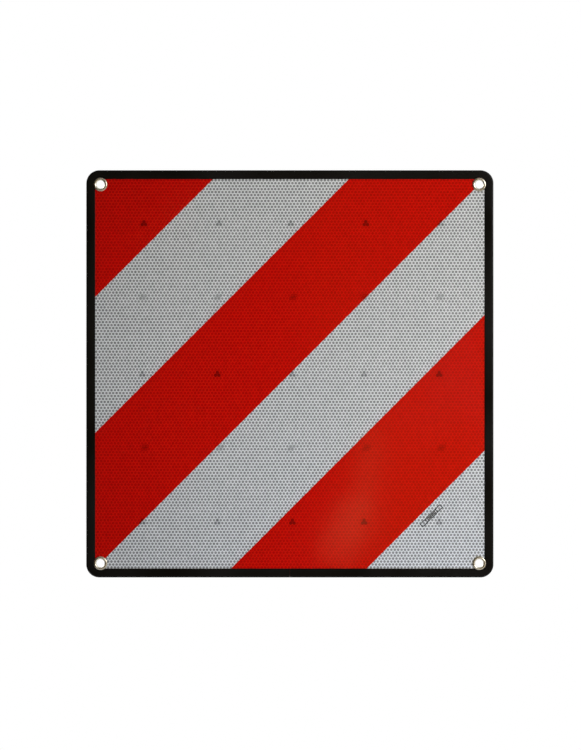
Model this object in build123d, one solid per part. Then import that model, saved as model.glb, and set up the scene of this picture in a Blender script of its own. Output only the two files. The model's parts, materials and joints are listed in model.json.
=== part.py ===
from build123d import *
from math import sqrt
import os

# Overhanging load sign: a square aluminium plate with a white honeycomb reflective sheeting,
# three red stripe films, a black U-section edge trim and an eyelet in each corner.
# Millimetres. +X is right and +Z is up as the striped face is read; the face looks along -Y.
# The origin is the centre of the four eyelets, on the back face of the plate.

# Overall
SIGN_SIDE = 500.0  # width and height over the edge trim
CORNER_RADIUS = 16.0  # outside corner of the edge trim

# Layers, from the back to the front
PLATE_THICKNESS = 1.0
SHEETING_THICKNESS = 0.35  # with its adhesive
STRIPE_THICKNESS = 0.08  # transparent red film with its adhesive
STRIPE_COUNT = 6  # equal stripes from the upper left to the lower right corner, red first
RED_STRIPES = ("upper", "middle", "lower")  # every second stripe

# Edge trim, one length pushed over the plate's edge
TRIM_COVER = 11.0  # how far its legs reach in from the outer edge
TRIM_WALL = 1.2  # thickness at the closed side
TRIM_TIP = 0.7  # thickness of the legs at their tips
TRIM_EDGE_GAP = 0.3  # play between the plate's edge and the bottom of the slot
TRIM_BUTT_GAP = 0.1  # between the two ends, at the middle of the lower edge
TRIM_NOTCH_PLAY = 0.2  # around the eyelet rims, where the legs are nipped out

# Eyelets, each with a washer behind the plate
EYELET_INSET = 17.5  # from the outer edges to the eyelet's axis
EYELET_BORE = 10.0  # clear diameter
EYELET_WALL = 0.4
EYELET_RIM_WIDTH = 3.5  # rounded rim on the front, from the bore outwards
EYELET_CURL_WIDTH = 2.3  # rolled end on the back, from the bore outwards
EYELET_PLAY = 0.1  # around the barrel, in the plate, the films and the washer
WASHER_WIDTH = 3.5  # from the bore outwards
WASHER_THICKNESS = 0.6
WASHER_EDGE_ROUND = 0.25

# Heights above the back face of the plate, towards the front
PLATE_FRONT = PLATE_THICKNESS
SHEETING_FRONT = PLATE_FRONT + SHEETING_THICKNESS
STRIPE_FRONT = SHEETING_FRONT + STRIPE_THICKNESS

PLATE_SIDE = SIGN_SIDE - 2 * (TRIM_WALL + TRIM_EDGE_GAP)
PLATE_RADIUS = CORNER_RADIUS - TRIM_WALL - TRIM_EDGE_GAP
NOSE_RADIUS = TRIM_WALL + STRIPE_FRONT / 2  # the trim's closed side is a half round
EYELET_SPACING = SIGN_SIDE - 2 * EYELET_INSET
BORE_RADIUS = EYELET_BORE / 2
BARREL_RADIUS = BORE_RADIUS + EYELET_WALL
HOLE_RADIUS = BARREL_RADIUS + EYELET_PLAY

CORNERS = {
    "top_left": (-1, 1),
    "top_right": (1, 1),
    "bottom_left": (-1, -1),
    "bottom_right": (1, -1),
}
EYELET_PLACES = {
    corner: (right * EYELET_SPACING / 2, up * EYELET_SPACING / 2)
    for corner, (right, up) in CORNERS.items()
}


def eyelet_holes(radius):
    """Four circles on the eyelets' axes, as seen on the face."""
    return Sketch() + [Pos(x, z) * Circle(radius) for x, z in EYELET_PLACES.values()]


def layer(outline, height, thickness):
    """A flat layer that starts at a height above the plate's back and grows to the front."""
    return extrude(Plane.XZ.offset(height) * outline, amount=thickness)


def sheet_outline():
    """Plate and sheeting are cut together: a rounded square with the eyelet holes."""
    return RectangleRounded(PLATE_SIDE, PLATE_SIDE, PLATE_RADIUS) - eyelet_holes(HOLE_RADIUS)


def stripe_band(index):
    """One endless 45 degree band, rising to the right, counted from the upper left corner."""
    width = SIGN_SIDE * sqrt(2) / STRIPE_COUNT
    from_centre = (index + 0.5) * width - SIGN_SIDE / sqrt(2)
    return Rot(0, 0, 45) * Pos(0, -from_centre) * Rectangle(2 * SIGN_SIDE, width)


def stripe_film(index):
    """A red film, cut to its band and to the outline of the sheeting under it."""
    return layer(sheet_outline() & stripe_band(index), SHEETING_FRONT, STRIPE_THICKNESS)


def trim_leg(face, side):
    """One leg of the U section: the straight taper of its outside, its round tip and its inside."""
    tip_start = TRIM_COVER - TRIM_TIP / 2
    outside = face + side * TRIM_WALL
    tip = face + side * TRIM_TIP
    return [
        Line((NOSE_RADIUS, outside), (tip_start, tip)),
        ThreePointArc((tip_start, tip), (TRIM_COVER, (face + tip) / 2), (tip_start, face)),
        Line((tip_start, face), (TRIM_WALL, face)),
    ]


def trim_section():
    """U section: x runs in from the sign's outer edge, y towards the front."""
    front_outside = STRIPE_FRONT + TRIM_WALL
    nose = ThreePointArc(
        (NOSE_RADIUS, -TRIM_WALL), (0, STRIPE_FRONT / 2), (NOSE_RADIUS, front_outside)
    )
    slot_bottom = Line((TRIM_WALL, 0), (TRIM_WALL, STRIPE_FRONT))
    return make_face([nose, slot_bottom, *trim_leg(STRIPE_FRONT, 1), *trim_leg(0, -1)])


def edge_trim():
    """The U section bent round the plate, its ends butted at the middle of the lower edge."""
    half = SIGN_SIDE / 2
    path = Plane.XZ * FilletPolyline(
        (TRIM_BUTT_GAP / 2, -half),
        (half, -half),
        (half, half),
        (-half, half),
        (-half, -half),
        (-TRIM_BUTT_GAP / 2, -half),
        radius=CORNER_RADIUS,
    )
    across = Plane(origin=(TRIM_BUTT_GAP / 2, 0, -half), x_dir=(0, 0, 1), z_dir=(1, 0, 0))
    strip = sweep(across * trim_section(), path=path)
    widest = BORE_RADIUS + max(EYELET_RIM_WIDTH, WASHER_WIDTH)
    past_both_legs = STRIPE_FRONT + 2 * TRIM_WALL
    notch_outline = Plane.XZ * eyelet_holes(widest + TRIM_NOTCH_PLAY)
    return strip - extrude(notch_outline, amount=past_both_legs, both=True)


def turned(profile, corner):
    """Turn a half profile (x from the axis, y to the front) about an eyelet's axis."""
    x, z = EYELET_PLACES[corner]
    half_plane = Plane(origin=(x, 0, z), x_dir=(1, 0, 0), z_dir=(0, 0, -1))
    return revolve(half_plane * profile, axis=Axis((x, 0, z), (0, -1, 0)))


def rolled_end(width, seat, side):
    """Outer and inner arcs of a tube end rolled outwards onto a seat, and the edge between."""
    middle = BORE_RADIUS + width / 2
    outside = BORE_RADIUS + width
    crown = seat + side * width / 2
    return [
        ThreePointArc((BORE_RADIUS, seat), (middle, crown), (outside, seat)),
        Line((outside, seat), (outside - EYELET_WALL, seat)),
        ThreePointArc(
            (outside - EYELET_WALL, seat),
            (middle, crown - side * EYELET_WALL),
            (BARREL_RADIUS, seat),
        ),
    ]


def eyelet_profile():
    """Pressed tube: rounded rim on the face, barrel, and an end rolled over the washer."""
    back = -WASHER_THICKNESS
    bore_side = Line((BORE_RADIUS, back), (BORE_RADIUS, STRIPE_FRONT))
    barrel_side = Line((BARREL_RADIUS, back), (BARREL_RADIUS, STRIPE_FRONT))
    rim = rolled_end(EYELET_RIM_WIDTH, STRIPE_FRONT, 1)
    curl = rolled_end(EYELET_CURL_WIDTH, back, -1)
    return make_face([bore_side, barrel_side, *rim, *curl])


def washer_profile():
    """Flat ring with its outer rear edge rounded."""
    outside = BORE_RADIUS + WASHER_WIDTH
    ring = Pos((HOLE_RADIUS + outside) / 2, -WASHER_THICKNESS / 2) * Rectangle(
        outside - HOLE_RADIUS, WASHER_THICKNESS
    )
    outer_rear = ring.vertices().sort_by(Axis.Y)[:2].sort_by(Axis.X)[-1]
    return fillet(outer_rear, WASHER_EDGE_ROUND)


def all_parts():
    parts = {
        "backing_plate": layer(sheet_outline(), 0, PLATE_THICKNESS),
        "reflective_sheeting": layer(sheet_outline(), PLATE_FRONT, SHEETING_THICKNESS),
        "edge_trim": edge_trim(),
    }
    for place, name in enumerate(RED_STRIPES):
        parts[f"red_stripe_{name}"] = stripe_film(2 * place)
    for corner in CORNERS:
        parts[f"eyelet_{corner}"] = turned(eyelet_profile(), corner)
        parts[f"washer_{corner}"] = turned(washer_profile(), corner)
    return parts


os.makedirs("parts", exist_ok=True)
for name, part in all_parts().items():
    export_step(part, f"parts/{name}.step")
    size = part.bounding_box().size
    print(f"{name}: {size.X:.2f} x {size.Y:.2f} x {size.Z:.2f} mm, {part.volume:.1f} mm3")
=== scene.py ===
# %% [markdown]
# # Overhanging load sign
# A square warning panel that hangs on the end of a load that overhangs a vehicle. An aluminium plate
# carries white reflective sheeting with a honeycomb of small cells, three red films make the stripes, a
# black plastic trim grips the edge all round, and a metal eyelet in each corner takes the tie.
# The construction comes from CAD and stays fixed. This lesson models each surface that the eye meets on
# top of that frame, gives every piece its finish, and lights it as a plain product photograph.

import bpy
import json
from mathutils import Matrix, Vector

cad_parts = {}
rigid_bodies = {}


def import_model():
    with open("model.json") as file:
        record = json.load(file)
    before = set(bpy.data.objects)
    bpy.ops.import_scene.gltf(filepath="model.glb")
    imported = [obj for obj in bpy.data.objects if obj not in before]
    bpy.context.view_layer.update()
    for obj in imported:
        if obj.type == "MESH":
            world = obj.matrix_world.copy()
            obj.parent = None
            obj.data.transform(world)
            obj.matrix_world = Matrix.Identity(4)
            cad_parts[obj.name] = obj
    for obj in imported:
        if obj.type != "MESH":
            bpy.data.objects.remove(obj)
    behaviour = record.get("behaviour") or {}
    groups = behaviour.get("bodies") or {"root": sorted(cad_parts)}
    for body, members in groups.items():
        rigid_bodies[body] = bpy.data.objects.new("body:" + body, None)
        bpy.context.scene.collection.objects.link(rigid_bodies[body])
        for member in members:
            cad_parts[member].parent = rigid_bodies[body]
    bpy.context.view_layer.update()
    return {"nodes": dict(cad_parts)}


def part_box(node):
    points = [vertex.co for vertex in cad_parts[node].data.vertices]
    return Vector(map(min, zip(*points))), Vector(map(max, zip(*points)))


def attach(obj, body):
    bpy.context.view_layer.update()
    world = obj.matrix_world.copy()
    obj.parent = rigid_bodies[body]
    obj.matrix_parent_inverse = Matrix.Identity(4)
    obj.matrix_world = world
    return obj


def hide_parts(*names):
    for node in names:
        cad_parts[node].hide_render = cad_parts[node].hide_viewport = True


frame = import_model()

import json
import math

import bpy
from mathutils import Quaternion, Vector

MM = 0.001  # the scene is in metres, and the sizes of the sign are written in millimetres
print("CAD nodes:", ", ".join(sorted(frame["nodes"])))

# %% [markdown]
# ## Sizes that the frame already holds
# Nothing is measured twice: the heights of the layers are read from the CAD nodes. The face of the sign
# looks along -Y, so the front of a layer is its lowest Y. The few sizes that a box can't tell, such as the
# thickness of the trim's tips, are written as real sizes where they are first needed.

# %% Read the layers from the frame
BODY = "root"
CORNERS = {
    "top_left": (-1, 1),
    "top_right": (1, 1),
    "bottom_left": (-1, -1),
    "bottom_right": (1, -1),
}
STRIPES = ("upper", "middle", "lower")

plate_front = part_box("backing_plate")[0].y
sheet_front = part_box("reflective_sheeting")[0].y
film_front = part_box("red_stripe_middle")[0].y
trim_low, trim_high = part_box("edge_trim")
half_side = trim_high.x
eyelet_low, eyelet_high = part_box("eyelet_top_right")
eyelet_axis = (eyelet_low.x + eyelet_high.x) / 2  # from the centre, both across and up
print(f"half side {half_side / MM:.1f} mm, eyelet axis {eyelet_axis / MM:.2f} mm from the centre")
print(f"fronts: plate {plate_front / MM:.2f}, sheeting {sheet_front / MM:.2f}, film {film_front / MM:.2f} mm")

# %% [markdown]
# ## Working as by hand
# Operators act on whatever is selected, so every step begins by selecting exactly one object. In edit mode
# the parts of a mesh are chosen by where they are. These helpers keep the steps below short.

# %% Selection helpers
def select_only(piece):
    """Deselect everything, then make one object the selected and active one."""
    bpy.ops.object.select_all(action="DESELECT")
    piece.select_set(True)
    bpy.context.view_layer.objects.active = piece


def edit(piece, select="SELECT"):
    """Open one object in edit mode, with all of its mesh selected or nothing of it."""
    select_only(piece)
    bpy.ops.object.mode_set(mode="EDIT")
    bpy.ops.mesh.select_mode(type="VERT")
    bpy.ops.mesh.select_all(action=select)


def leave_edit():
    bpy.ops.object.mode_set(mode="OBJECT")


def apply_modifiers(piece):
    """Make every modifier of an object part of its mesh, in order."""
    select_only(piece)
    for modifier in list(piece.modifiers):
        bpy.ops.object.modifier_apply(modifier=modifier.name)


def settle(piece):
    """Move an object's place, turn and size into its mesh, so that the object sits at the origin."""
    select_only(piece)
    bpy.ops.object.transform_apply(location=True, rotation=True, scale=True)


def copy_of(piece, name):
    """A copy with its own mesh, free of any parent."""
    select_only(piece)
    bpy.ops.object.duplicate()
    copy = bpy.context.object
    bpy.ops.object.parent_clear(type="CLEAR_KEEP_TRANSFORM")
    copy.name = copy.data.name = name
    return copy


def remove(piece):
    """Throw away a helper object."""
    select_only(piece)
    bpy.ops.object.delete()


# %% [markdown]
# A vertex that two edges share is often made twice. Merging must stay far below the thinnest layer, which
# is a film of less than a tenth of a millimetre, so the distance is given and never left at its
# default. A boolean then cuts one closed mesh with another, as a die cuts a sheet. It leaves faces with many
# corners, some of them almost in line. A plain division of such faces into triangles can put two slivers
# on each other there, so a Triangulate modifier divides them into well shaped triangles.

# %% Merge and cut helpers
MERGE_DISTANCE = 0.002 * MM


def merge_doubles(piece):
    """Merge the vertices that lie on each other, then turn all faces outwards."""
    edit(piece)
    bpy.ops.mesh.remove_doubles(threshold=MERGE_DISTANCE)
    bpy.ops.mesh.normals_make_consistent(inside=False)
    leave_edit()


def cut(piece, operation, tool):
    """Cut a closed mesh with another closed mesh: INTERSECT keeps what is inside, DIFFERENCE the rest."""
    modifier = piece.modifiers.new(operation.lower(), "BOOLEAN")
    modifier.operation = operation
    modifier.solver = "MANIFOLD"
    modifier.object = tool
    apply_modifiers(piece)
    bpy.ops.object.material_slot_remove_unused()  # the tool brings its own slots along


def divide_faces(piece):
    """Divide all faces of an object into well shaped triangles."""
    modifier = piece.modifiers.new("triangles", "TRIANGULATE")
    modifier.ngon_method = "BEAUTY"
    apply_modifiers(piece)


def finish_piece(piece, slot, *nodes):
    """Attach a piece to its body, hide the nodes it stands for, print its size; the slot is not used."""
    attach(piece, BODY)
    if nodes:
        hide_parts(*nodes)
    triangles = sum(len(face.vertices) - 2 for face in piece.data.polygons)
    low, high = Vector(piece.bound_box[0]), Vector(piece.bound_box[6])
    size = [round(side / MM, 2) for side in high - low]
    print(f"{piece.name}: {triangles} triangles, {size} mm")


# %% [markdown]
# ## Colours and nodes
# Colours are written as the sRGB hex values that a paint program shows, and turned to the linear values
# that shaders work with. One function adds any node: its inputs come as a dictionary, where a socket is
# linked and a plain value is set, and its settings come as keywords. The inputs of a Math node all have the
# same name, so there the place in the row stands for the name.
# A noise hardly ever reaches 0 or 1. Its middle is therefore stretched to the whole range that a finish uses.

# %% Colour and node helpers
NOISE_MIDDLE = (0.35, 0.65)
NOISE_WIDE = (0.3, 0.7)  # for noises with more detail


def linear(hex_colour):
    """An sRGB hex colour as the linear RGBA of a shader socket."""
    channels = [int(hex_colour[i : i + 2], 16) / 255 for i in (1, 3, 5)]
    return [c / 12.92 if c <= 0.04045 else ((c + 0.055) / 1.055) ** 2.4 for c in channels] + [1.0]


def add_node(tree, kind, inputs=None, **settings):
    """Add a node to a tree, with its settings, then link or set its inputs."""
    node = tree.nodes.new(kind)
    for name, value in settings.items():
        setattr(node, name, value)
    for name, value in (inputs or {}).items():
        if isinstance(value, bpy.types.NodeSocket):
            tree.links.new(value, node.inputs[name])
        else:
            node.inputs[name].default_value = value
    return node


def new_material(name):
    """An empty node material, its tree and the output that its shader goes to."""
    material = bpy.data.materials.new(name)
    material.use_nodes = True
    tree = material.node_tree
    tree.nodes.clear()
    output = add_node(tree, "ShaderNodeOutputMaterial")
    return material, tree, output


# %% [markdown]
# ## Finish: encapsulated lens sheeting
# The sheeting is a clear acrylic cover over a layer of fine glass beads. It is sealed to the bead layer
# along a honeycomb of walls, which keeps an air cell over the beads. In plain light the bead layer looks
# grey and slightly grainy, the sealed walls look milky white, and the cover film over both is glossy and a
# little uneven. The red stripes are a transparent red film over the same cells.
# The honeycomb could be drawn with a texture, but it is a real relief, so it is modelled, and each kind of
# face gets its own material: the walls, the cells, and both again, darker, where the security pattern falls.

# %% Reflective sheeting material
BEAD_GRAIN = 0.9 * MM  # the beads are a tenth of that, drawn coarser so that the grain can show
CELL_SPREAD = 4.0 * MM  # the tone drifts from cell to cell
DRIFT_SHARE = 0.6  # of that drift in the tone, the rest is grain
COVER_WAVE = 45.0 * MM  # between the soft waves of the cover film
COVER_WAVE_DEPTH = 0.03 * MM


def reflective_film(name, dark, light):
    """Acrylic sheeting over glass beads: two tones that drift in fine grain, under a clear glossy cover."""
    material, tree, output = new_material(name)
    place = add_node(tree, "ShaderNodeTexCoord").outputs["Object"]
    grain = add_node(
        tree, "ShaderNodeTexNoise", {"Vector": place, "Scale": 1 / BEAD_GRAIN, "Detail": 1.0}
    )
    drift = add_node(
        tree, "ShaderNodeTexNoise", {"Vector": place, "Scale": 1 / CELL_SPREAD, "Detail": 2.0}
    )
    tone = add_node(
        tree,
        "ShaderNodeMix",
        {"Factor": DRIFT_SHARE, "A": grain.outputs["Fac"], "B": drift.outputs["Fac"]},
    )
    spread = add_node(
        tree,
        "ShaderNodeMapRange",
        {"Value": tone.outputs["Result"], "From Min": NOISE_MIDDLE[0], "From Max": NOISE_MIDDLE[1]},
    )
    colour = add_node(
        tree,
        "ShaderNodeMix",
        {"Factor": spread.outputs["Result"], "A": linear(dark), "B": linear(light)},
        data_type="RGBA",
    )
    wave = add_node(
        tree, "ShaderNodeTexNoise", {"Vector": place, "Scale": 1 / COVER_WAVE, "Detail": 1.0}
    )
    cover = add_node(
        tree,
        "ShaderNodeBump",
        {"Height": wave.outputs["Fac"], "Strength": 1.0, "Distance": COVER_WAVE_DEPTH},
    )
    shader = add_node(
        tree,
        "ShaderNodeBsdfPrincipled",
        {
            "Base Color": colour.outputs["Result"],
            "Roughness": 0.55,
            "Specular IOR Level": 0.0,
            "Coat Weight": 1.0,
            "Coat Roughness": 0.06,
            "Coat IOR": 1.49,
            "Coat Normal": cover.outputs["Normal"],
        },
    )
    tree.links.new(shader.outputs["BSDF"], output.inputs["Surface"])
    return material


# %% Tones of the white and the red film
WALL, CELL, MARKED_WALL, MARKED_CELL = range(4)  # the material slots of a film

white_film = [
    reflective_film("sheeting_sealed_wall", "#d3d3cf", "#e1e1dd"),
    reflective_film("sheeting_bead_cell", "#787875", "#908f8c"),
    reflective_film("sheeting_marked_wall", "#aeaeab", "#babab7"),
    reflective_film("sheeting_marked_cell", "#5f5e5d", "#706f6d"),
]
red_film = [
    reflective_film("red_film_on_wall", "#c40b08", "#d00e08"),
    reflective_film("red_film_on_cell", "#a20603", "#b50704"),
    reflective_film("red_film_on_marked_wall", "#880504", "#960605"),
    reflective_film("red_film_on_marked_cell", "#700303", "#800304"),
]
print("film materials:", [material.name for material in white_film + red_film])

# %% [markdown]
# ## Honeycomb slab
# One cell is modelled: a six-sided circle whose face is inset, so that the raised middle is the cell and
# the sloping border is half of the sealed wall. A second cell makes the offset row, and two Array modifiers
# repeat the pair over more than the whole sign. The outer edge is then pulled back and closed, which gives
# a slab that can be cut like a sheet. The slab is a helper: the pieces are cut from copies of it.

# %% Model one cell and its neighbour in the next row
CELL_PITCH = 4.19 * MM  # from cell to cell along a row
CELL_ACROSS = 3.0 * MM  # over the flats of the raised cell
CELL_RISE = 0.05 * MM  # from the middle of a wall to the top of a cell
ROW_PITCH = CELL_PITCH * math.sqrt(3) / 2
SLAB_MARGIN = 2  # more columns and pairs of rows than the sign needs

columns = math.ceil(2 * half_side / CELL_PITCH) + SLAB_MARGIN
row_pairs = math.ceil(half_side / ROW_PITCH) + SLAB_MARGIN
first_cell = (  # with every second row half a cell further right, the slab is then centred
    -(columns - 0.5) / 2 * CELL_PITCH,
    film_front + CELL_RISE,
    -(2 * row_pairs - 1) / 2 * ROW_PITCH,
)
bpy.ops.object.select_all(action="DESELECT")
bpy.ops.mesh.primitive_circle_add(
    vertices=6,
    radius=CELL_PITCH / math.sqrt(3),
    fill_type="NGON",
    location=first_cell,
    rotation=(math.pi / 2, 0, 0),
)
slab = bpy.context.object
slab.name = "honeycomb_slab"
settle(slab)
for material in red_film:
    slab.data.materials.append(material)

edit(slab)
bpy.ops.mesh.select_mode(type="FACE")
bpy.ops.mesh.inset(thickness=(CELL_PITCH - CELL_ACROSS) / 2, depth=CELL_RISE)
slab.active_material_index = CELL
bpy.ops.object.material_slot_assign()
bpy.ops.mesh.select_all(action="SELECT")
bpy.ops.mesh.duplicate_move(TRANSFORM_OT_translate={"value": (CELL_PITCH / 2, 0, ROW_PITCH)})
leave_edit()
print("pair of cells:", len(slab.data.polygons), "faces")

# %% Repeat the pair over the sign
for name, count, step in (
    ("along_the_row", columns, (CELL_PITCH, 0, 0)),
    ("row_pairs", row_pairs, (0, 0, 2 * ROW_PITCH)),
):
    array = slab.modifiers.new(name, "ARRAY")
    array.count = count
    array.use_relative_offset = False
    array.use_constant_offset = True
    array.constant_offset_displace = step
apply_modifiers(slab)
merge_doubles(slab)
print(f"honeycomb: {columns} columns, {2 * row_pairs} rows, {len(slab.data.polygons)} faces")

# %% [markdown]
# The security pattern of such sheeting is a faint mark that comes back at even distances. Here it is a
# generic one, a small group of cells: three as a triangle in one row of marks, and in the next row four as a
# slanted block, which is fainter because only its walls are darker.

# %% Darken the cells of the security pattern
MARK_PITCH = 90.8 * MM  # between marks, both ways
MARK_ROWS = 5
TRIANGLE = ((0, 0), (2, 0), (1, 1))  # in half cells along the row, and rows up
BLOCK = ((0, 0), (2, 0), (1, 1), (3, 1))


def lattice_place(x, z):
    """The half column and the row of a place on the face."""
    half_columns = (x - first_cell[0]) / (CELL_PITCH / 2)
    row = round((z - first_cell[2]) / ROW_PITCH)
    return 2 * round((half_columns - row % 2) / 2) + row % 2, row


cells = {}
for face in slab.data.polygons:
    cells.setdefault(lattice_place(face.center.x, face.center.z), []).append(face)
steps = [(index - MARK_ROWS // 2) * MARK_PITCH for index in range(MARK_ROWS)]
for mark_row, z in enumerate(steps):
    is_faint = mark_row % 2 == 1
    for x in steps:
        column, row = lattice_place(x, z)
        for right, up in BLOCK if is_faint else TRIANGLE:
            for face in cells[column + right, row + up]:
                if face.material_index == WALL:
                    face.material_index = MARKED_WALL
                elif not is_faint:
                    face.material_index = MARKED_CELL
marked = sum(face.material_index == MARKED_CELL for face in slab.data.polygons)
print(f"security pattern: {marked} cells darkened of {len(cells)}")

# %% [markdown]
# The open edge of the honeycomb is extruded back by more than the sheeting's thickness and closed with one
# face. A closed mesh is what the boolean needs.

# %% Close the slab
SLAB_DEPTH = 0.5 * MM  # behind the walls

edit(slab, "DESELECT")
bpy.ops.mesh.select_mode(type="EDGE")
bpy.ops.mesh.select_non_manifold(extend=False)
bpy.ops.mesh.extrude_edges_move(TRANSFORM_OT_translate={"value": (0, SLAB_DEPTH, 0)})
bpy.ops.mesh.edge_face_add()
bpy.ops.mesh.select_all(action="SELECT")
bpy.ops.mesh.normals_make_consistent(inside=False)
leave_edit()
print("slab closed:", len(slab.data.polygons), "faces")

# %% [markdown]
# ## White sheeting
# The sheeting runs under the red films as well. A copy of the slab is set back to the sheeting's own height
# and cut to the plate's outline. The cutter is a merged copy of the CAD node, pulled forward so that it
# reaches past the relief: the slab's own cells then stay as the front of the sheet.

# %% Cut the sheeting
def film_cutter(node, name, seat, reach):
    """A merged copy of a flat CAD layer, stretched to the front from its seat on the layer below."""
    cutter = copy_of(frame["nodes"][node], name)
    merge_doubles(cutter)
    edit(cutter)
    bpy.ops.transform.resize(value=(1, reach, 1), center_override=(0, seat, 0))
    leave_edit()
    return cutter


SHEET_CUTTER_REACH = 4.0  # times the sheeting's own thickness

sheeting = copy_of(slab, "sheeting_honeycomb")
for index, material in enumerate(white_film):
    sheeting.data.materials[index] = material
edit(sheeting)
bpy.ops.transform.translate(value=(0, sheet_front - film_front, 0))
leave_edit()

cutter = film_cutter("reflective_sheeting", "sheet_cutter", plate_front, SHEET_CUTTER_REACH)
cut(sheeting, "INTERSECT", cutter)
remove(cutter)
print("sheeting cut:", len(sheeting.data.polygons), "faces")

# %% [markdown]
# Under the red films no relief could be seen, so it is planed off there, which keeps the mesh light. The
# plane is a long bar at 45 degrees, as wide as a stripe. It runs past the outline on both ends, because a
# boolean leaves slivers where two surfaces coincide.

# %% Plane the sheeting under the red films
STRIPE_COUNT = 6  # red and white together, from the upper left to the lower right corner
PLANED = 0.06 * MM  # just more than the relief
PLANER_LENGTH = 5 * half_side
PLANER_DEPTH = 2.0 * MM

stripe_width = 2 * half_side * math.sqrt(2) / STRIPE_COUNT
for place in range(len(STRIPES)):
    from_corner = (2 * place + 0.5) * stripe_width  # red comes first, then every second stripe
    right = from_corner / math.sqrt(2) - half_side
    bpy.ops.object.select_all(action="DESELECT")
    bpy.ops.mesh.primitive_cube_add(
        size=1,
        scale=(PLANER_LENGTH, PLANER_DEPTH, stripe_width),
        location=(right, sheet_front + PLANED - PLANER_DEPTH / 2, -right),
        rotation=(0, -math.pi / 4, 0),
    )
    planer = bpy.context.object
    cut(sheeting, "DIFFERENCE", planer)
    remove(planer)
merge_doubles(sheeting)
divide_faces(sheeting)
finish_piece(sheeting, "white_sheeting", "reflective_sheeting")

# %% [markdown]
# ## Red stripe films
# Each stripe is cut from the slab in the same way, with the outline that CAD gives it, eyelet holes included.

# %% Cut the three red films
FILM_CUTTER_REACH = 40.0  # times the film's own thickness

for stripe in STRIPES:
    film = copy_of(slab, f"stripe_film_{stripe}")
    cutter = film_cutter(f"red_stripe_{stripe}", "stripe_cutter", sheet_front, FILM_CUTTER_REACH)
    cut(film, "INTERSECT", cutter)
    remove(cutter)
    merge_doubles(film)
    divide_faces(film)
    finish_piece(film, "red_film", f"red_stripe_{stripe}")
remove(slab)

# %% [markdown]
# ## Printed panel
# Such sheeting carries a small printed panel along the edge of the lowest stripe. Here it stays generic: a
# frame with two blank end fields, and two plain bars in the middle. A single plane is bisected along every
# line of the print, the faces between the lines are deleted, and what stays gets the thickness of the ink.

# %% Print material
def screen_ink():
    """Screen-printed ink: dark grey, thin and slightly uneven."""
    material, tree, output = new_material("screen_printed_ink")
    place = add_node(tree, "ShaderNodeTexCoord").outputs["Object"]
    coverage = add_node(
        tree, "ShaderNodeTexNoise", {"Vector": place, "Scale": 1 / BEAD_GRAIN, "Detail": 2.0}
    )
    colour = add_node(
        tree,
        "ShaderNodeMix",
        {"Factor": coverage.outputs["Fac"], "A": linear("#08090a"), "B": linear("#1a1b1c")},
        data_type="RGBA",
    )
    shader = add_node(
        tree,
        "ShaderNodeBsdfPrincipled",
        {"Base Color": colour.outputs["Result"], "Roughness": 0.5, "Coat Weight": 0.5},
    )
    tree.links.new(shader.outputs["BSDF"], output.inputs["Surface"])
    return material


ink = screen_ink()
print("print material:", ink.name)

# %% Divide one plane along the lines of the print
PRINT_PLACE = (173.7 * MM, -174.2 * MM)  # across and up from the centre
PRINT_LENGTH, PRINT_HEIGHT = 35.0 * MM, 5.6 * MM
PRINT_LINE = 1.1 * MM
PRINT_DIVIDER = 8.2 * MM  # from the middle to the inner side of the dividing lines
BAR_HALF_LENGTH = 7.0 * MM
BAR_NEAR, BAR_FAR = 0.2 * MM, 1.3 * MM  # from the middle line to a bar's two edges

inner_length = PRINT_LENGTH / 2 - PRINT_LINE
inner_height = PRINT_HEIGHT / 2 - PRINT_LINE
bpy.ops.object.select_all(action="DESELECT")
bpy.ops.mesh.primitive_plane_add(size=1)
panel = bpy.context.object
panel.name = "printed_panel"
panel.scale = (PRINT_LENGTH, PRINT_HEIGHT, 1)
settle(panel)
for direction, cuts in (
    ((1, 0, 0), (inner_length, PRINT_DIVIDER + PRINT_LINE, PRINT_DIVIDER, BAR_HALF_LENGTH)),
    ((0, 1, 0), (inner_height, BAR_FAR, BAR_NEAR)),
):
    for distance in cuts:
        for side in (-1, 1):
            edit(panel)
            bpy.ops.mesh.bisect(plane_co=side * distance * Vector(direction), plane_no=direction)
            leave_edit()
print("print divided:", len(panel.data.polygons), "faces")

# %% Keep the inked faces and give them thickness
INK_THICKNESS = 0.02 * MM  # in front of the sheeting, and as much sunk into it


def is_inked(centre):
    """True on the frame, the dividing lines and the bars."""
    across, up = abs(centre.x), abs(centre.y)
    frame_line = across > inner_length or up > inner_height
    divider = PRINT_DIVIDER < across < PRINT_DIVIDER + PRINT_LINE
    bar = across < BAR_HALF_LENGTH and BAR_NEAR < up < BAR_FAR
    return frame_line or divider or bar


edit(panel, "DESELECT")
bpy.ops.mesh.select_mode(type="FACE")
leave_edit()
for face in panel.data.polygons:
    face.select = not is_inked(face.center)
bpy.ops.object.mode_set(mode="EDIT")
bpy.ops.mesh.delete(type="FACE")
leave_edit()
panel.location = (PRINT_PLACE[0], sheet_front - INK_THICKNESS, PRINT_PLACE[1])
panel.rotation_euler = (math.pi / 2, -math.pi / 4, 0)
settle(panel)
layer = panel.modifiers.new("ink_layer", "SOLIDIFY")
layer.thickness = 2 * INK_THICKNESS
layer.offset = -1
apply_modifiers(panel)
panel.data.materials.append(ink)
finish_piece(panel, "white_sheeting")

# %% [markdown]
# ## Finish: soft black PVC
# The trim is extruded from soft black PVC. It leaves the die with a satin skin and very fine lines along its
# length, and handling leaves it a little shinier in places. The trim is a square frame, so the distance
# across its face is the larger of the distances from the centre, across and up: streaks that change only
# with that number follow the trim all the way round.

# %% Edge trim material
DIE_LINE = 0.6 * MM  # between the lines that the die leaves
DIE_LINE_DEPTH = 0.02 * MM
STREAK_LENGTH = 60.0 * MM  # before a line fades
RUB = 120.0 * MM  # patches that handling has rubbed
RUBBED_ROUGHNESS = (0.28, 0.52)


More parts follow.
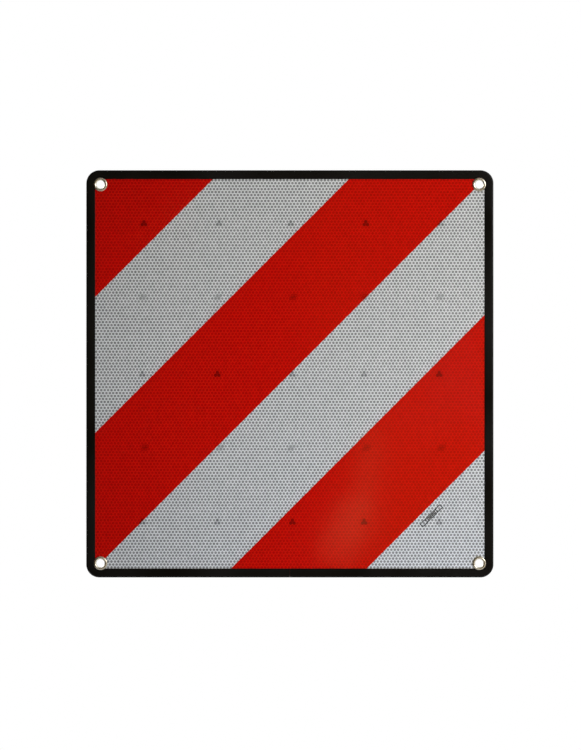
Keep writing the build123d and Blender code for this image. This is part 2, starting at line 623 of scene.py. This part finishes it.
def extruded_pvc():
    """Plasticised PVC, extruded: satin black with faint lines along the length."""
    material, tree, output = new_material("extruded_black_pvc")
    place = add_node(tree, "ShaderNodeTexCoord").outputs["Object"]
    from_centre = add_node(tree, "ShaderNodeVectorMath", {0: place}, operation="ABSOLUTE").outputs[0]
    sides = add_node(tree, "ShaderNodeSeparateXYZ", {0: from_centre}).outputs
    own = add_node(tree, "ShaderNodeSeparateXYZ", {0: place}).outputs
    across = add_node(
        tree, "ShaderNodeMath", {0: sides["X"], 1: sides["Z"]}, operation="MAXIMUM"
    ).outputs[0]
    along = add_node(tree, "ShaderNodeMath", {0: own["X"], 1: own["Z"]}, operation="ADD").outputs[0]
    run = add_node(
        tree, "ShaderNodeMath", {0: along, 1: DIE_LINE / STREAK_LENGTH}, operation="MULTIPLY"
    ).outputs[0]
    strip = add_node(tree, "ShaderNodeCombineXYZ", {"X": across, "Y": own["Y"], "Z": run}).outputs[0]
    lines = add_node(tree, "ShaderNodeTexNoise", {"Vector": strip, "Scale": 1 / DIE_LINE, "Detail": 2.0})
    rubbed = add_node(tree, "ShaderNodeTexNoise", {"Vector": place, "Scale": 1 / RUB, "Detail": 2.0})
    colour = add_node(
        tree,
        "ShaderNodeMix",
        {"Factor": rubbed.outputs["Fac"], "A": linear("#060504"), "B": linear("#0c0a08")},
        data_type="RGBA",
    )
    gloss = add_node(
        tree,
        "ShaderNodeMapRange",
        {
            "Value": rubbed.outputs["Fac"],
            "From Min": NOISE_MIDDLE[0],
            "From Max": NOISE_MIDDLE[1],
            "To Min": RUBBED_ROUGHNESS[0],
            "To Max": RUBBED_ROUGHNESS[1],
        },
    )
    relief = add_node(
        tree,
        "ShaderNodeBump",
        {"Height": lines.outputs["Fac"], "Strength": 0.5, "Distance": DIE_LINE_DEPTH},
    )
    shader = add_node(
        tree,
        "ShaderNodeBsdfPrincipled",
        {
            "Base Color": colour.outputs["Result"],
            "Roughness": gloss.outputs["Result"],
            "IOR": 1.53,
            "Specular IOR Level": 0.145,
            "Normal": relief.outputs["Normal"],
        },
    )
    tree.links.new(shader.outputs["BSDF"], output.inputs["Surface"])
    return material


black_pvc = extruded_pvc()
print("trim material:", black_pvc.name)

# %% [markdown]
# ## Edge trim
# The trim is a U section pushed over the edge: a half-round closed side and two legs that thin out to round
# tips, which press on the face and on the back. One half of the section is drawn from a single vertex with
# Spin for each round and Extrude for each straight, a Mirror modifier gives the other half, and the section
# then travels round the plate: extrude along a side, spin round a corner, four times, to the butt joint in
# the middle of the lower edge.

# %% Draw the section at the butt joint
LEG_REACH = 11.0 * MM  # how far the legs reach in from the outer edge
LEG_TIP = 0.7 * MM  # thickness at the tips
BUTT_GAP = 0.1 * MM
NOSE_STEPS, TIP_STEPS = 10, 8  # round a quarter of the closed side, and round a tip
SECTION_AXIS = (1, 0, 0)  # the section is drawn in the plane across X

trim_middle = (trim_low.y + trim_high.y) / 2
nose_radius = (trim_high.y - trim_low.y) / 2
trim_wall = film_front - trim_low.y
section_x = BUTT_GAP / 2
tip_start = LEG_REACH - LEG_TIP / 2


def section_point(inwards, y):
    """A place on the section: a distance in from the lower outer edge, and a height."""
    return Vector((section_x, y, inwards - half_side))


def extrude_to(start, end):
    """Extrude what is selected from one place to another."""
    bpy.ops.mesh.extrude_region_move(TRANSFORM_OT_translate={"value": end - start})


nose_centre = section_point(nose_radius, trim_middle)
tip_centre = section_point(tip_start, film_front - LEG_TIP / 2)
bpy.ops.object.select_all(action="DESELECT")
bpy.ops.mesh.primitive_plane_add(size=MM, location=section_point(0, trim_middle))
trim = bpy.context.object
trim.name = "trim_strip"
edit(trim)
bpy.ops.mesh.merge(type="CENTER")
bpy.ops.mesh.spin(steps=NOSE_STEPS, angle=math.pi / 2, center=nose_centre, axis=SECTION_AXIS)
extrude_to(section_point(nose_radius, trim_low.y), section_point(tip_start, film_front - LEG_TIP))
bpy.ops.mesh.spin(steps=TIP_STEPS, angle=math.pi, center=tip_centre, axis=SECTION_AXIS)
extrude_to(section_point(tip_start, film_front), section_point(trim_wall, film_front))
extrude_to(section_point(trim_wall, film_front), section_point(trim_wall, trim_middle))
leave_edit()
mirror = trim.modifiers.new("other_leg", "MIRROR")
mirror.use_axis = (False, True, False)
mirror.merge_threshold = MERGE_DISTANCE
apply_modifiers(trim)
settle(trim)
print(f"trim section: {len(trim.data.vertices)} points, nose radius {nose_radius / MM:.3f} mm")

# %% Run the section round the plate
CORNER_RADIUS = 16.0 * MM
CORNER_STEPS = 16

straight = half_side - CORNER_RADIUS
edit(trim)
bpy.ops.mesh.extrude_edges_move(TRANSFORM_OT_translate={"value": (straight - section_x, 0, 0)})
runs = ((0, 2 * straight), (-2 * straight, 0), (0, -2 * straight), (straight - section_x, 0))
centres = ((straight, -straight), (straight, straight), (-straight, straight), (-straight, -straight))
for (right, up), (x, z) in zip(runs, centres):
    bpy.ops.mesh.spin(steps=CORNER_STEPS, angle=math.pi / 2, center=(x, 0, z), axis=(0, 1, 0))
    bpy.ops.mesh.extrude_edges_move(TRANSFORM_OT_translate={"value": (right, 0, up)})
leave_edit()

for end in (section_x, -section_x):
    edit(trim, "DESELECT")
    leave_edit()
    for vertex in trim.data.vertices:
        vertex.select = abs(vertex.co.x - end) < MERGE_DISTANCE and vertex.co.z < 0
    bpy.ops.object.mode_set(mode="EDIT")
    bpy.ops.mesh.edge_face_add()
    leave_edit()
merge_doubles(trim)
print(f"trim: {len(trim.data.polygons)} faces")

# %% [markdown]
# Where a leg meets the rim of an eyelet, it is nipped out in a round, and the soft plastic lies close against
# the rim. The nips are cut with a cylinder on each eyelet's axis, and the long strip is shaded smooth with
# its tips kept crisp.

# %% Nip the legs round the eyelets
NOTCH_PLAY = 0.03 * MM  # between the plastic and the rim
PUNCH_SIDES = 64
PUNCH_DEPTH = 20.0 * MM  # through both legs and past them
SMOOTH_ANGLE = math.radians(35)

rim_outside = (eyelet_high.x - eyelet_low.x) / 2
trim.data.materials.append(black_pvc)
for right, up in CORNERS.values():
    bpy.ops.object.select_all(action="DESELECT")
    bpy.ops.mesh.primitive_cylinder_add(
        vertices=PUNCH_SIDES,
        radius=rim_outside + NOTCH_PLAY,
        depth=PUNCH_DEPTH,
        location=(right * eyelet_axis, 0, up * eyelet_axis),
        rotation=(math.pi / 2, 0, 0),
    )
    punch = bpy.context.object
    cut(trim, "DIFFERENCE", punch)
    remove(punch)
merge_doubles(trim)
select_only(trim)
bpy.ops.object.shade_smooth_by_angle(angle=SMOOTH_ANGLE)
finish_piece(trim, "black_trim", "edge_trim")

# %% [markdown]
# ## Finish: nickel-plated brass
# Eyelets are pressed from brass and plated with bright nickel, a slightly warm white metal. Rolling them
# over leaves small scuffs. Towards the foot of the rim the metal's colour is darker and yellower.
# The four corners mirror each other, so folding the coordinates with an absolute value puts every eyelet on
# one place, and the distance from the axis follows from there.

# %% Eyelet material
SCUFF = 1.6 * MM  # across a scuff
SCUFF_DEPTH = 0.01 * MM
SCUFFED_ROUGHNESS = (0.22, 0.34)
RIM_FOOT = (7.2 * MM, 8.6 * MM)  # where the colour turns darker and yellower, from the axis


def nickel_plate():
    """Bright nickel on pressed brass: warm white metal with scuffs, darker and yellower at the foot of the
    rim.
    """
    material, tree, output = new_material("nickel_plated_brass")
    place = add_node(tree, "ShaderNodeTexCoord").outputs["Object"]
    folded = add_node(tree, "ShaderNodeVectorMath", {0: place}, operation="ABSOLUTE").outputs[0]
    local = add_node(
        tree, "ShaderNodeVectorMath", {0: folded, 1: (eyelet_axis, 0, eyelet_axis)}, operation="SUBTRACT"
    ).outputs[0]
    flat = add_node(tree, "ShaderNodeVectorMath", {0: local, 1: (1, 0, 1)}, operation="MULTIPLY").outputs[0]
    radius = add_node(tree, "ShaderNodeVectorMath", {0: flat}, operation="LENGTH").outputs["Value"]
    foot = add_node(
        tree, "ShaderNodeMapRange", {"Value": radius, "From Min": RIM_FOOT[0], "From Max": RIM_FOOT[1]}
    )
    scuffs = add_node(tree, "ShaderNodeTexNoise", {"Vector": place, "Scale": 1 / SCUFF, "Detail": 4.0})
    colour = add_node(
        tree,
        "ShaderNodeMix",
        {"Factor": foot.outputs["Result"], "A": linear("#d6cfc0"), "B": linear("#b5a98e")},
        data_type="RGBA",
    )
    gloss = add_node(
        tree,
        "ShaderNodeMapRange",
        {
            "Value": scuffs.outputs["Fac"],
            "From Min": NOISE_WIDE[0],
            "From Max": NOISE_WIDE[1],
            "To Min": SCUFFED_ROUGHNESS[0],
            "To Max": SCUFFED_ROUGHNESS[1],
        },
    )
    relief = add_node(
        tree,
        "ShaderNodeBump",
        {"Height": scuffs.outputs["Fac"], "Strength": 0.15, "Distance": SCUFF_DEPTH},
    )
    shader = add_node(
        tree,
        "ShaderNodeBsdfPrincipled",
        {
            "Base Color": colour.outputs["Result"],
            "Metallic": 1.0,
            "Roughness": gloss.outputs["Result"],
            "Normal": relief.outputs["Normal"],
        },
    )
    tree.links.new(shader.outputs["BSDF"], output.inputs["Surface"])
    return material


nickel = nickel_plate()
print("eyelet material:", nickel.name)

# %% [markdown]
# ## Eyelets
# An eyelet is a short tube of sheet brass: a rounded rim on the face, a barrel through the plate, and an end
# rolled over a washer at the back. Its visible line is drawn from one vertex, spun once round the axis, and
# given the thickness of the sheet with Solidify on the hidden side. One is modelled, and three copies are
# moved to the other corners. The washers keep their CAD shape and get the same plating.

# %% Spin one eyelet
EYELET_BORE = 5.0 * MM  # radius
EYELET_SHEET = 0.4 * MM
RIM_STEPS, CURL_STEPS = 18, 14  # round the rim on the face, and round the rolled end
SPIN_STEPS = 64
LINE_AXIS = (0, 0, 1)  # the visible line is drawn in the plane across Z

axis_place = Vector((eyelet_axis, 0, eyelet_axis))
rim_radius = (rim_outside - EYELET_BORE) / 2
washer_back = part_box("washer_top_right")[1].y
curl_radius = eyelet_high.y - washer_back


def eyelet_point(from_axis, y):
    """A place on the eyelet's visible line: a distance from the axis, and a height."""
    return axis_place + Vector((from_axis, y, 0))


rim_centre = eyelet_point(EYELET_BORE + rim_radius, film_front)
curl_centre = eyelet_point(EYELET_BORE + curl_radius, washer_back)
bpy.ops.object.select_all(action="DESELECT")
bpy.ops.mesh.primitive_plane_add(size=MM, location=eyelet_point(rim_outside, film_front))
eyelet = bpy.context.object
eyelet.name = "eyelet_ring_top_right"
edit(eyelet)
bpy.ops.mesh.merge(type="CENTER")
bpy.ops.mesh.spin(steps=RIM_STEPS, angle=math.pi, center=rim_centre, axis=LINE_AXIS)
extrude_to(eyelet_point(EYELET_BORE, film_front), eyelet_point(EYELET_BORE, washer_back))
bpy.ops.mesh.spin(steps=CURL_STEPS, angle=math.pi, center=curl_centre, axis=LINE_AXIS)
bpy.ops.mesh.select_all(action="SELECT")
bpy.ops.mesh.spin(steps=SPIN_STEPS, angle=2 * math.pi, center=axis_place, axis=(0, 1, 0))
leave_edit()
settle(eyelet)
merge_doubles(eyelet)
sheet = eyelet.modifiers.new("sheet_brass", "SOLIDIFY")
sheet.thickness = EYELET_SHEET
sheet.offset = -1
sheet.use_even_offset = True
apply_modifiers(eyelet)
eyelet.data.materials.append(nickel)
select_only(eyelet)
bpy.ops.object.shade_smooth_by_angle(angle=SMOOTH_ANGLE)
print(f"eyelet: {len(eyelet.data.polygons)} faces, rim radius {rim_radius / MM:.2f} mm")

# %% Copy it to the other corners
rings = {"top_right": eyelet}
for corner, (right, up) in CORNERS.items():
    if corner not in rings:
        rings[corner] = copy_of(eyelet, f"eyelet_ring_{corner}")
        edit(rings[corner])
        bpy.ops.transform.translate(value=((right - 1) * eyelet_axis, 0, (up - 1) * eyelet_axis))
        leave_edit()
for corner, ring in rings.items():
    finish_piece(ring, "eyelet_metal", f"eyelet_{corner}")
    washer = frame["nodes"][f"washer_{corner}"]
    washer.data.materials.clear()
    washer.data.materials.append(nickel)

# %% [markdown]
# ## Finish: mill-finish aluminium
# The plate is sheet aluminium as it leaves the rolling mill: a soft grey metal with fine lines along the
# rolling direction, and faint handling marks that break up its gloss. It shows on the whole back. Its CAD
# shape is right as it is, so only its material is new.

# %% Backing plate material
ROLLING_LINE = 1.4 * MM  # between the lines; the real ones are finer and would not show
ROLLING_LINE_DEPTH = 0.01 * MM
ROLLING_LENGTH = 180.0 * MM  # before a line fades
HANDLING = 60.0 * MM  # across a patch of handling marks
HANDLING_SHARE = 0.4  # of the marks in the tone, the rest is lines
ROLLED_ROUGHNESS = (0.28, 0.44)


def mill_aluminium():
    """Rolled aluminium sheet, bare: grey metal with rolling lines and handling marks."""
    material, tree, output = new_material("mill_finish_aluminium")
    place = add_node(tree, "ShaderNodeTexCoord").outputs["Object"]
    rolled = add_node(
        tree,
        "ShaderNodeMapping",
        {"Vector": place, "Scale": (1 / ROLLING_LENGTH, 1 / ROLLING_LINE, 1 / ROLLING_LINE)},
    ).outputs["Vector"]
    lines = add_node(tree, "ShaderNodeTexNoise", {"Vector": rolled, "Scale": 1.0, "Detail": 3.0})
    marks = add_node(tree, "ShaderNodeTexNoise", {"Vector": place, "Scale": 1 / HANDLING, "Detail": 4.0})
    both = add_node(
        tree,
        "ShaderNodeMix",
        {"Factor": HANDLING_SHARE, "A": lines.outputs["Fac"], "B": marks.outputs["Fac"]},
    ).outputs["Result"]
    colour = add_node(
        tree,
        "ShaderNodeMix",
        {"Factor": both, "A": linear("#a9acae"), "B": linear("#d4d6d7")},
        data_type="RGBA",
    )
    gloss = add_node(
        tree,
        "ShaderNodeMapRange",
        {
            "Value": both,
            "From Min": NOISE_WIDE[0],
            "From Max": NOISE_WIDE[1],
            "To Min": ROLLED_ROUGHNESS[0],
            "To Max": ROLLED_ROUGHNESS[1],
        },
    )
    relief = add_node(
        tree,
        "ShaderNodeBump",
        {"Height": lines.outputs["Fac"], "Strength": 0.4, "Distance": ROLLING_LINE_DEPTH},
    )
    shader = add_node(
        tree,
        "ShaderNodeBsdfPrincipled",
        {
            "Base Color": colour.outputs["Result"],
            "Metallic": 1.0,
            "Roughness": gloss.outputs["Result"],
            "Normal": relief.outputs["Normal"],
        },
    )
    tree.links.new(shader.outputs["BSDF"], output.inputs["Surface"])
    return material


plate = frame["nodes"]["backing_plate"]
plate.data.materials.clear()
plate.data.materials.append(mill_aluminium())
print("plate material:", plate.data.materials[0].name)

# %% [markdown]
# ## Camera
# The photograph looks straight at the face from a fair distance, with the sign near the middle of a tall
# frame. The camera stands five metres off and its lens is worked out from how many millimetres of the sign
# one pixel covers.

# %% Place the camera
IMAGE_HEIGHT_PX = 750
IMAGE_WIDTH_PX = 581
SIGN_CENTRE_PX = (289.85, 373.85)
MM_PER_PX = 1.228
CAMERA_DISTANCE = 5.0

bpy.ops.object.select_all(action="DESELECT")
to_right = (IMAGE_WIDTH_PX / 2 - SIGN_CENTRE_PX[0]) * MM_PER_PX * MM
to_top = (SIGN_CENTRE_PX[1] - IMAGE_HEIGHT_PX / 2) * MM_PER_PX * MM
bpy.ops.object.camera_add(
    location=(to_right, -CAMERA_DISTANCE, to_top), rotation=(math.pi / 2, 0, 0)
)
camera = bpy.context.object
camera.data.lens = camera.data.sensor_width * CAMERA_DISTANCE / (IMAGE_HEIGHT_PX * MM_PER_PX * MM)
bpy.context.scene.camera = camera
print(f"camera: {camera.data.lens:.1f} mm lens at {CAMERA_DISTANCE} m")

# %% [markdown]
# ## Light
# The face is brighter on its right, so the main softbox stands close by on that side, in front. Its mirror
# image would lie on the face in other views, so gloss doesn't see it: a card above it gives the eyelets and
# the trim their highlights. A weak bluish softbox below cools the lower edge. Two dim cards beside the
# camera, a long one and a short one that leans more, leave the one soft reflection in the lower stripe. The
# three cards touch nothing but gloss. A last softbox behind the sign lights its back for the other views.

# %% Softbox helper
def softbox(name, power, size, place, colour, lean=0.0):
    """A rectangular area light at a place, turned to the sign's centre and leaning to one side."""
    bpy.ops.object.light_add(type="AREA", location=place)
    lamp = bpy.context.object
    lamp.name = name
    lamp.data.shape = "RECTANGLE"
    lamp.data.size, lamp.data.size_y = size
    lamp.data.energy = power
    lamp.data.color = linear(colour)[:3]
    aim = (-Vector(place)).to_track_quat("-Z", "Y")
    lamp.rotation_euler = (aim @ Quaternion((0, 0, 1), lean)).to_euler()
    lamp.visible_camera = False
    print(f"{name}: {power} W, {size[0]} by {size[1]} m")
    return lamp


# %% Softboxes and cards
WHITE = "#ffffff"
BLUISH = "#5ba0ff"
WARM_CARD = "#ffad75"

key_softbox = softbox(
    "key_softbox", power=15.0, size=(0.8, 0.8), place=(1.2, -1.05, -0.05), colour=WHITE
)
rim_card = softbox("rim_card", power=17.0, size=(1.2, 0.8), place=(1.2, -1.05, 0.5), colour=WHITE)
low_softbox = softbox(
    "low_softbox", power=1.12, size=(0.8, 0.25), place=(0.3, -0.4, -0.6), colour=BLUISH
)
softbox("rear_softbox", power=40.0, size=(1.2, 1.2), place=(-1.4, 1.8, 1.0), colour=WHITE)
long_card = softbox(
    "long_card",
    power=0.062,
    size=(0.040, 0.28),
    place=(0.185, -CAMERA_DISTANCE, -0.276),
    colour=WARM_CARD,
    lean=math.radians(-9),
)
short_card = softbox(
    "short_card",
    power=0.083,
    size=(0.076, 0.16),
    place=(0.135, -CAMERA_DISTANCE, -0.386),
    colour=WARM_CARD,
    lean=math.radians(-22),
)
key_softbox.visible_glossy = low_softbox.visible_glossy = False
for card in (rim_card, long_card, short_card):
    card.visible_diffuse = False

# %% [markdown]
# A spot in front, with a wide soft edge and aimed to the right of the middle, lets the light fall off to the
# left. A softbox could not do that alone: from so far off it lights the whole face evenly.

# %% Spot
SPOT_PLACE = (0.35, -4.0, 0.04)
SPOT_BEAM = 0.795  # radius of the beam at the sign
SPOT_EDGE = 0.76  # share of the beam in which its light fades
SPOT_RADIUS = 0.2  # of the lamp itself
SPOT_POWER = 154.0

bpy.ops.object.light_add(type="SPOT", location=SPOT_PLACE, rotation=(math.pi / 2, 0, 0))
spot = bpy.context.object
spot.name = "soft_spot"
spot.data.energy = SPOT_POWER
spot.data.spot_size = 2 * math.atan(SPOT_BEAM / -SPOT_PLACE[1])
spot.data.spot_blend = SPOT_EDGE
spot.data.shadow_soft_size = SPOT_RADIUS
spot.visible_camera = spot.visible_glossy = False
print(f"{spot.name}: {SPOT_POWER} W, beam {math.degrees(spot.data.spot_size):.1f} degrees")

# %% [markdown]
# ## World
# The background is pure white to the camera. What a mirror-like surface sees is the same white behind the
# sign, and a dark room in front of it: the red is deep because its glossy cover has almost nothing to
# mirror. Only on the right does the room end at a warm wall, which is why the red turns to orange there.
# All of it is worked out from the direction of the ray: X is to the right, Y away from the camera, Z up.

# %% Surroundings that gloss mirrors
DARK_ROOM = 0.003  # on the left of the camera
WALL_EDGE = (0.003, 0.0145)  # how far to the right the dark room turns into the warm wall
WALL_LEAN = 0.25  # the wall's edge leans to the left as it rises
WALL_LIGHT = (0.36, 0.12)  # low down and high up
WALL_SPAN = (-0.04, 0.04)  # from low down to high up
FRONT_CONE = (-0.93, -0.70)  # the room fills this cone in front of the sign, the sides begin past it
SIDES = (0.06, 0.85)  # what the metal mirrors on its left and on its right
SIDES_SPAN = (-0.8, 0.8)  # from left to right
BEHIND = (0.6, 0.95)  # where the backdrop begins
BACKDROP = 1.0  # white

world = bpy.data.worlds.new("studio")
bpy.context.scene.world = world
world.use_nodes = True
tree = world.node_tree
tree.nodes.clear()
direction = add_node(tree, "ShaderNodeTexCoord").outputs["Generated"]
look = add_node(tree, "ShaderNodeSeparateXYZ", {0: direction}).outputs
from_edge = add_node(
    tree, "ShaderNodeMath", {0: look["Z"], 1: WALL_LEAN, 2: look["X"]}, operation="MULTIPLY_ADD"
).outputs[0]
ramps = {}
for name, value, (start, end), (low, high) in (
    ("to_wall", from_edge, WALL_EDGE, (0.0, 1.0)),
    ("wall", look["Z"], WALL_SPAN, WALL_LIGHT),
    ("past_cone", look["Y"], FRONT_CONE, (0.0, 1.0)),
    ("sides", look["X"], SIDES_SPAN, SIDES),
    ("behind", look["Y"], BEHIND, (0.0, 1.0)),
):
    ramps[name] = add_node(
        tree,
        "ShaderNodeMapRange",
        {"Value": value, "From Min": start, "From Max": end, "To Min": low, "To Max": high},
    ).outputs["Result"]
mirrored = DARK_ROOM
for share, added in (("to_wall", ramps["wall"]), ("past_cone", ramps["sides"]), ("behind", BACKDROP)):
    mirrored = add_node(
        tree, "ShaderNodeMix", {"Factor": ramps[share], "A": mirrored, "B": added}
    ).outputs["Result"]
print("surroundings:", ", ".join(ramps))

# %% [markdown]
# The kind of ray then decides: the camera sees the white backdrop all around, gloss sees the surroundings
# above, and diffuse surfaces get an even fill from all sides.

# %% World shader
FILL = 0.242  # even light on the object from all around
WARM_WALL = "#ffd540"

ray = add_node(tree, "ShaderNodeLightPath").outputs
room_colour = add_node(
    tree,
    "ShaderNodeMix",
    {"Factor": ramps["past_cone"], "A": linear(WARM_WALL), "B": linear(WHITE)},
    data_type="RGBA",
).outputs["Result"]
colour = add_node(
    tree,
    "ShaderNodeMix",
    {"Factor": ray["Is Glossy Ray"], "A": linear(WHITE), "B": room_colour},
    data_type="RGBA",
).outputs["Result"]
seen = add_node(
    tree, "ShaderNodeMath", {0: ray["Is Camera Ray"], 1: ray["Is Transmission Ray"]}, operation="MAXIMUM"
).outputs[0]
unseen = add_node(
    tree, "ShaderNodeMix", {"Factor": ray["Is Glossy Ray"], "A": FILL, "B": mirrored}
).outputs["Result"]
strength = add_node(tree, "ShaderNodeMix", {"Factor": seen, "A": unseen, "B": BACKDROP}).outputs["Result"]
background = add_node(tree, "ShaderNodeBackground", {"Color": colour, "Strength": strength})
add_node(tree, "ShaderNodeOutputWorld", {"Surface": background.outputs[0]})
world.cycles.sampling_method = "NONE"  # it depends on the kind of ray, so it isn't sampled as a lamp
print("world: fill", FILL)

# %% [markdown]
# ## Floor
# The sign hangs in use, so the floor lies well below it. It is pale, keeps the sign's shadow, and turns
# transparent towards its rim, so that it fades into the background and its rim is mirrored nowhere.

# %% Floor disc
FLOOR_DROP = 0.5  # below the sign's lower edge
FLOOR_RADIUS = 2.0
FLOOR_SIDES = 96

bpy.ops.object.select_all(action="DESELECT")
bpy.ops.mesh.primitive_circle_add(
    vertices=FLOOR_SIDES, radius=FLOOR_RADIUS, fill_type="NGON", location=(0, 0, trim_low.z - FLOOR_DROP)
)
floor = bpy.context.object
floor.name = "floor"
print("floor at", round(floor.location.z, 3), "m")

# %% Floor material
FLOOR_FADE = (0.5, 1.6)  # from the middle, where the floor fades into the background
FLOOR_GLOW = 0.35  # lifts the lit floor to white where it is seen

floor_material, tree, output = new_material("pale_floor")
ray = add_node(tree, "ShaderNodeLightPath").outputs
seen = add_node(
    tree, "ShaderNodeMath", {0: ray["Is Camera Ray"], 1: ray["Is Glossy Ray"]}, operation="MAXIMUM"
).outputs[0]
seen = add_node(
    tree, "ShaderNodeMath", {0: seen, 1: ray["Is Transmission Ray"]}, operation="MAXIMUM"
).outputs[0]
glow = add_node(tree, "ShaderNodeMath", {0: seen, 1: FLOOR_GLOW}, operation="MULTIPLY").outputs[0]
place = add_node(tree, "ShaderNodeTexCoord").outputs["Object"]
radius = add_node(tree, "ShaderNodeVectorMath", {0: place}, operation="LENGTH").outputs["Value"]
solid = add_node(
    tree,
    "ShaderNodeMapRange",
    {"Value": radius, "From Min": FLOOR_FADE[0], "From Max": FLOOR_FADE[1], "To Min": 1.0, "To Max": 0.0},
)
shader = add_node(
    tree,
    "ShaderNodeBsdfPrincipled",
    {
        "Base Color": linear("#e2e2e2"),
        "Roughness": 0.9,
        "Specular IOR Level": 0.0,
        "Emission Color": linear(WHITE),
        "Emission Strength": glow,
        "Alpha": solid.outputs["Result"],
    },
)
tree.links.new(shader.outputs["BSDF"], output.inputs["Surface"])
floor.data.materials.append(floor_material)
print("floor material:", floor_material.name)

# %% [markdown]
# ## View transform
# The view transform is Standard, so a colour renders as it is written.

# %% View transform
bpy.context.scene.view_settings.view_transform = "Standard"
